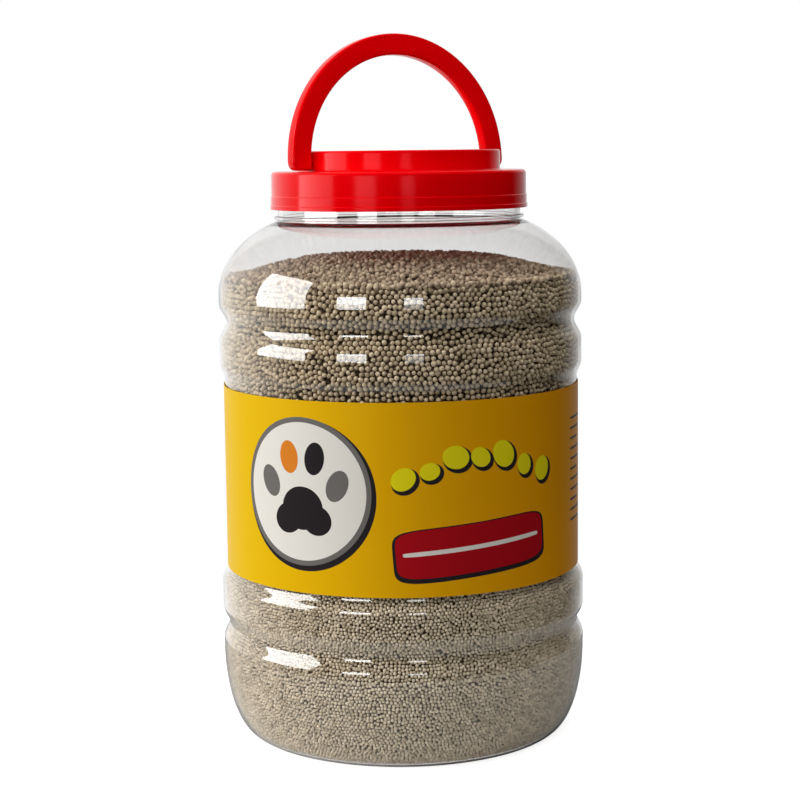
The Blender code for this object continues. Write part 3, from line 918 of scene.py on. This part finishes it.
def strewn(outline, kind, depths, rng):
    """Granule centres and radii, scattered over the surface that an outline makes when it turns about Z.

    depths are the least and the most radii below that surface that the centres lie.
    """
    spacing, radius, spread = kind
    outline = np.array(outline)
    normals = point_normals(outline)
    reach = np.concatenate([[0], np.cumsum(np.hypot(*np.diff(outline, axis=0).T))])
    along = []
    around = []
    for row in np.arange(spacing / 2, reach[-1], spacing * ROW_SHARE):
        across = np.interp(row, reach, outline[:, 0])
        count = max(1, round(2 * math.pi * across / spacing))
        along.append(row + rng.uniform(-SCATTER, SCATTER, count) * spacing)
        steps = np.arange(count) + rng.random() + rng.uniform(-SCATTER, SCATTER, count)
        around.append(steps * 2 * math.pi / count)
    along = np.clip(np.concatenate(along), 0, reach[-1])
    around = np.concatenate(around)
    sizes = radius * (1 + rng.uniform(-spread, spread, len(along)))
    below = sizes * rng.uniform(*depths, len(along))

    def places():
        """Where the granules are."""
        surface = [np.interp(along, reach, outline[:, axis]) for axis in (0, 1)]
        inward = [np.interp(along, reach, normals[:, axis]) for axis in (0, 1)]
        across = surface[0] + inward[0] * below
        height = surface[1] + inward[1] * below
        return np.column_stack([across * np.cos(around), across * np.sin(around), height])

    for _ in range(SPREAD_ROUNDS):
        centres = places()
        push = crowding(centres, sizes)
        outward = np.column_stack([np.cos(around), np.sin(around)])
        side = np.column_stack([-outward[:, 1], outward[:, 0]])
        out_push = (push[:, :2] * outward).sum(axis=1)
        downhill = np.interp(along, reach, normals[:, 1]), -np.interp(along, reach, normals[:, 0])
        along = np.clip(along - out_push * downhill[0] - push[:, 2] * downhill[1], 0, reach[-1])
        distance = np.maximum(np.hypot(centres[:, 0], centres[:, 1]), radius)
        around = around + (push[:, :2] * side).sum(axis=1) / distance
    return places(), sizes


def make_granules(name, layers, material, rng):
    """Single granules as one piece, from the centres and radii of its layers."""
    centres = np.vstack([layer[0] for layer in layers])
    radii = np.concatenate([layer[1] for layer in layers])
    count = len(radii)
    corners, faces = icosahedron()
    stretch = 1 + rng.uniform(-STRETCH, STRETCH, (count, 1, 3))
    turned = np.einsum("nij,nkj->nki", random_turns(count, rng), corners[None] * stretch)
    places = centres[:, None, :] + turned * radii[:, None, None]
    loops = (faces[None] + (np.arange(count) * len(corners))[:, None, None]).ravel()
    mesh = bpy.data.meshes.new(name)
    mesh.vertices.add(count * len(corners))
    mesh.vertices.foreach_set("co", places.astype(np.float32).ravel())
    mesh.loops.add(len(loops))
    mesh.loops.foreach_set("vertex_index", loops.astype(np.int32))
    mesh.polygons.add(count * len(faces))
    mesh.polygons.foreach_set("loop_start", np.arange(0, len(loops), 3, dtype=np.int32))
    tone = mesh.attributes.new("tone", "FLOAT", "POINT")
    tone.data.foreach_set("value", np.repeat(rng.random(count), len(corners)).astype(np.float32))
    mesh.update(calc_edges=True)
    mesh.shade_smooth()
    return new_piece(name, mesh, material)


def between(outline, low, high):
    """The stretch of a falling outline that lies between two heights."""
    kept = []
    for start, end in zip(outline, outline[1:]):
        for limit in (high, low):
            if start[1] > limit > end[1]:
                share = (start[1] - limit) / (start[1] - end[1])
                kept.append((start[0] + (end[0] - start[0]) * share, limit))
        if low <= end[1] <= high:
            kept.append(end)
    return ([outline[0]] if low <= outline[0][1] <= high else []) + kept


def make_litter():
    """The filling: coarse granules above the label, fine ones below it, and a bed behind both that is
    painted dark as the shade between the granules.
    """
    rng = np.random.default_rng(SEED)
    mound, wall = litter_outline()
    ring_radius = STANDING_RING_RADIUS - BODY_WALL
    base_start = next(i for i, point in enumerate(wall) if point[0] < ring_radius)
    upper = between(wall, LABEL_TOP - HIDDEN_MARGIN, LITTER_LEVEL)
    lower = between(wall[:base_start + 1], 0.0, LABEL_FOOT + HIDDEN_MARGIN)
    base = wall[base_start:]
    top = mound + upper[:1]
    runs = np.cumsum([math.dist(start, end) for start, end in zip(lower, lower[1:])])
    middle = int(np.searchsorted(runs, runs[-1] / 2))
    layers = (
        # The granules on top of the heap take the darker heap clay, which is painted shade
        ("granules_top", "heap", (top,), COARSE, TOP_DEPTHS),
        ("granules_upper", "coarse", (upper,), COARSE, WALL_DEPTHS),
        # The second layer takes the darker deep clay, painted shade between the granules in front
        ("granules_deep_shaded", "deep", (top, upper), COARSE, DEEP_DEPTHS),
        ("granules_lower", "fine", (lower[:middle + 1],), FINE, WALL_DEPTHS),
        ("granules_heel", "fine", (lower[middle:],), FINE, WALL_DEPTHS),
        ("granules_base", "fine", (base,), COARSE, WALL_DEPTHS),
    )
    clays = {clay: granule_clay(clay) for clay in ("heap", "coarse", "deep", "fine")}
    for name, clay, outlines, kind, depths in layers:
        strewn_layers = [strewn(outline, kind, depths, rng) for outline in outlines]
        granules = make_granules(name, strewn_layers, clays[clay], rng)
        assign(granules, "jar", "litter" if name == "granules_top" else None)
    make_bed(top, upper, between(wall, 0.0, upper[-1][1])[1:], bed_painted_shade_clay())


def make_bed(top, upper, lower, material):
    """The closed body of litter behind the outer granules."""
    coarse_part = offset_inward(top[:-1] + upper, BED_DEPTH_COARSE)[:-1]
    fine_part = offset_inward(lower, BED_DEPTH_FINE)
    profile = [(0.0, coarse_part[0][1])] + coarse_part[1:] + fine_part
    bed = new_piece("litter_bed", turned_mesh("litter_bed", profile), material)
    settle(bed, "jar")


class Print:
    """Flat inks on the label, in metres to the right of its front line and up from its foot."""

    def __init__(self, tree, ground):
        self.tree = tree
        self.place = node(tree, "ShaderNodeUVMap", uv_map="print").outputs[0]
        self.across = node(tree, "ShaderNodeSeparateXYZ", {0: self.place}).outputs[0]
        self.colour = ground

    def local(self, centre, half_width, half_height, tilt):
        """A shape's own coordinates, which are 1 at its half width and half height."""
        inputs = {
            "Vector": self.place,
            "Location": (*centre, 0),
            "Rotation": (0, 0, math.radians(tilt)),
            "Scale": (half_width, half_height, 1),
        }
        return node(self.tree, "ShaderNodeMapping", inputs, vector_type="TEXTURE").outputs[0]

    def ellipse(self, centre, half_width, half_height, tilt, colour):
        """Print a tilted ellipse."""
        reach = length(self.tree, self.local(centre, half_width, half_height, tilt))
        self.ink(number(self.tree, "LESS_THAN", reach, 1.0), colour)

    def bar(self, centre, half_width, half_height, tilt, squareness, colour):
        """Print a tilted rectangle with rounded corners."""
        place = self.local(centre, half_width, half_height, tilt)
        apart = node(self.tree, "ShaderNodeSeparateXYZ", {0: place})
        powers = []
        for side in apart.outputs[:2]:
            powers.append(number(self.tree, "POWER", number(self.tree, "ABSOLUTE", side), squareness))
        self.ink(number(self.tree, "LESS_THAN", number(self.tree, "ADD", *powers), 1.0), colour)

    def ink(self, mask, colour):
        """Lay an ink over what is printed so far."""
        self.colour = ramp(self.tree, mask, self.colour, colour)


def label_film():
    """Satin printed film: yellow, painted amber towards the shaded right side as painted shade, with a paw
    medallion, a red band and rolling pebbles.
    """
    material, tree = new_material("label_film")
    _, normal = uneven(tree, *FILM_WAVES)
    art = Print(tree, INK_YELLOW)
    # Painted shade: the ink blends from yellow a quarter turn left of the front to amber a quarter turn
    # right of it
    turn = number(tree, "SINE", number(tree, "DIVIDE", art.across, PANEL_RADIUS))
    art.ink(number(tree, "MULTIPLY_ADD", turn, 0.5, 0.5), INK_AMBER_SHADE)
    medallion(art)
    band(art)
    pebbles(art)
    fine_rules(art)
    film = principled(tree, base_color=art.colour, roughness=0.36, specular_ior_level=0.03, normal=normal)
    show(tree, film)
    return material


def medallion(art):
    """A cream disc with a paw print in the colours of a tortoiseshell coat."""
    x, y = MEDALLION_CENTRE
    for across, up, half_width, half_height, tilt, colour in MEDALLION:
        art.ellipse((x + across, y + up), half_width, half_height, tilt, colour)


def band(art):
    """A red band with a dark edge and a cream line in it."""
    x, y = BAND_CENTRE
    for up, half_width, half_height, squareness, colour in BAND:
        art.bar((x, y + up), half_width, half_height, BAND_TILT, squareness, colour)


def pebbles(art):
    """A row of lemon pebbles with dark shadows that rolls in an arc over the band."""
    last = len(PEBBLE_SIZES) - 1
    for i, size in enumerate(PEBBLE_SIZES):
        x = PEBBLE_START[0] + PEBBLE_STEP * i
        y = PEBBLE_START[1] + PEBBLE_ARC * math.sin(math.pi * i / last) + PEBBLE_ZIGZAG * (-1) ** i
        tilt = PEBBLE_TILT - PEBBLE_ROLL * i
        height = size * PEBBLE_FLATNESS
        shadow = (x + PEBBLE_SHADOW[0], y + PEBBLE_SHADOW[1])
        art.ellipse(shadow, size + PEBBLE_SHADOW_EDGE, height + PEBBLE_SHADOW_EDGE, tilt, INK_DARK)
        art.ellipse((x, y), size, height, tilt, INK_LEMON)


def fine_rules(art):
    """Short thin rules at the right of the front, like an empty table."""
    for i in range(RULE_COUNT):
        half = RULE_HALF_LENGTHS[i % len(RULE_HALF_LENGTHS)]
        centre = (RULES_START[0] + half, RULES_START[1] - RULE_STEP * i)
        art.bar(centre, half, RULE_HALF_WIDTH, 0, RULE_SQUARENESS, INK_DARK)


def seen_straight(tree, rays):
    """1 for the rays that the camera sends out, also on their way straight on through clear plastic."""
    unmirrored = number(tree, "LESS_THAN", rays["Glossy Depth"], FIRST_GLOSS)
    through = number(tree, "MULTIPLY", rays["Is Transmission Ray"], unmirrored)
    return number(tree, "MAXIMUM", rays["Is Camera Ray"], through)


def make_stage():
    """A pale floor, which looks white to the camera and through clear plastic."""
    shape = bmesh.new()
    bmesh.ops.create_circle(shape, cap_ends=True, segments=FLOOR_FACETS, radius=FLOOR_RADIUS)
    material, tree = new_material("floor")
    away = length(tree, node(tree, "ShaderNodeTexCoord").outputs["Object"])
    lift = map_range(tree, away, FLOOR_DISTANCES, *FLOOR_WHITENESS, "SMOOTHSTEP")
    seen = seen_straight(tree, node(tree, "ShaderNodeLightPath").outputs)
    strength = number(tree, "MULTIPLY", seen, lift)
    white = node(tree, "ShaderNodeEmission", {"Color": WHITE, "Strength": strength})
    plain = node(tree, "ShaderNodeBsdfDiffuse", {"Color": FLOOR_GREY})
    show(tree, node(tree, "ShaderNodeAddShader", {0: plain.outputs[0], 1: white.outputs[0]}))
    new_piece("floor", mesh_of("floor", shape), material)


def make_world():
    """White to the camera and through clear plastic, a soft light from above and behind to all else."""
    world = bpy.data.worlds.new("studio")
    bpy.context.scene.world = world
    world.use_nodes = True
    tree = world.node_tree
    tree.nodes.clear()
    rays = node(tree, "ShaderNodeLightPath").outputs
    way = node(tree, "ShaderNodeTexCoord").outputs["Generated"]
    up = node(tree, "ShaderNodeSeparateXYZ", {0: way}).outputs[2]
    azimuth = math.radians(CAMERA_AZIMUTH + BACK_LEFT)
    middle = (-math.sin(azimuth), math.cos(azimuth), 0)
    from_middle = node(tree, "ShaderNodeVectorMath", {0: way, 1: middle}, operation="DOT_PRODUCT")
    cosine = from_middle.outputs["Value"]
    gloss = map_range(tree, cosine, GLOSS_COSINES, 0.0, GLOSS_BACK)
    back = map_range(tree, cosine, BACK_COSINES, 0.0, AMBIENT_BACK)
    above = map_range(tree, up, AMBIENT_SINES, AMBIENT_SIDE, AMBIENT_TOP, "SMOOTHSTEP")
    ambient = number(tree, "MAXIMUM", map_range(tree, up, HORIZON_SINES, AMBIENT_BELOW, above), back)
    mirrored = number(tree, "GREATER_THAN", rays["Glossy Depth"], FIRST_GLOSS)
    light = node(tree, "ShaderNodeMix", {"Factor": mirrored, "A": ambient, "B": gloss}).outputs[0]
    level = node(tree, "ShaderNodeMix", {"Factor": seen_straight(tree, rays), "A": light, "B": 1.0})
    shader = node(tree, "ShaderNodeBackground", {"Color": WHITE, "Strength": level.outputs[0]})
    node(tree, "ShaderNodeOutputWorld", {"Surface": shader.outputs[0]})


def make_lamp(name, width, height, brightness):
    """A rectangular soft box with an even brightness."""
    lamp = bpy.data.lights.new(name, "AREA")
    lamp.shape = "RECTANGLE"
    lamp.size = width
    lamp.size_y = height
    lamp.energy = WATTS_PER_RADIANCE * brightness * width * height
    return add_object(name, lamp)


def make_soft_lamps():
    """Scattered light from above, over the lid and handle and from the left."""
    for name, (azimuth, reach, height, size, brightness, aim) in SOFT_LAMPS.items():
        item = make_lamp(name, size, size, brightness)
        angle = math.radians(CAMERA_AZIMUTH - azimuth)
        item.location = (reach * math.sin(angle), -reach * math.cos(angle), height)
        way = Vector((0, 0, aim)) - item.location
        item.rotation_euler = way.to_track_quat("-Z", "Y").to_euler()
        item.visible_glossy = False
        item.visible_transmission = False


def make_window(name, azimuth, width, foot, top, brightness, distance):
    """An upright soft box that faces the axis. Its width is an angle, its foot and top are elevations."""
    angle = math.radians(CAMERA_AZIMUTH - azimuth)
    low = WINDOW_LEVEL + distance * math.tan(math.radians(foot))
    high = WINDOW_LEVEL + distance * math.tan(math.radians(top))
    item = make_lamp(name, 2 * distance * math.tan(math.radians(width / 2)), high - low, brightness)
    item.location = (distance * math.sin(angle), -distance * math.cos(angle), (low + high) / 2)
    item.rotation_euler = (math.pi / 2, 0, angle)
    return item


def make_windows():
    """The windows, each with a lamp just before it that only brightens its reflections."""
    near = WINDOW_DISTANCE - GLINT_NEARER
    for name, (azimuth, width, foot, top, brightness, glint_foot, glint) in WINDOWS.items():
        make_window(name, azimuth, width, foot, top, brightness, WINDOW_DISTANCE)
        extra = make_window(name + "_glint", azimuth, width, glint_foot, top, glint, near)
        extra.visible_diffuse = False


def make_camera():
    """The photograph's view."""
    azimuth = math.radians(CAMERA_AZIMUTH)
    camera = bpy.data.cameras.new("camera")
    camera.lens = CAMERA_LENS
    camera.sensor_width = SENSOR_WIDTH
    item = add_object("camera", camera)
    out = Vector((math.sin(azimuth), -math.cos(azimuth), 0))
    place = Matrix.Translation(out * CAMERA_DISTANCE + Vector((0, 0, CAMERA_HEIGHT)))
    turn = Matrix.Rotation(math.radians(CAMERA_AZIMUTH + CAMERA_YAW), 4, "Z")
    nod = Matrix.Rotation(math.radians(90 - CAMERA_PITCH), 4, "X")
    roll = Matrix.Rotation(math.radians(-CAMERA_ROLL), 4, "Z")
    item.matrix_world = place @ turn @ nod @ roll
    bpy.context.scene.camera = item


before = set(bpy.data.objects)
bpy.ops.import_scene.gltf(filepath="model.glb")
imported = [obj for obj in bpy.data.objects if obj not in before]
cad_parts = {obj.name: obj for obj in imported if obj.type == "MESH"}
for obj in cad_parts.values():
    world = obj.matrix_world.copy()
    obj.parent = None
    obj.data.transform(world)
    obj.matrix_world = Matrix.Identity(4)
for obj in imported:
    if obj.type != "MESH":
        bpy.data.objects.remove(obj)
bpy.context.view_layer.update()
red = red_plastic()
make_camera()
make_bottle(clear_plastic())
make_litter()
make_label(label_film())
make_lid(red)
make_wad(foam())
make_handle(red)
make_stage()
make_world()
make_windows()
make_soft_lamps()
bpy.context.scene.view_settings.view_transform = "Standard"
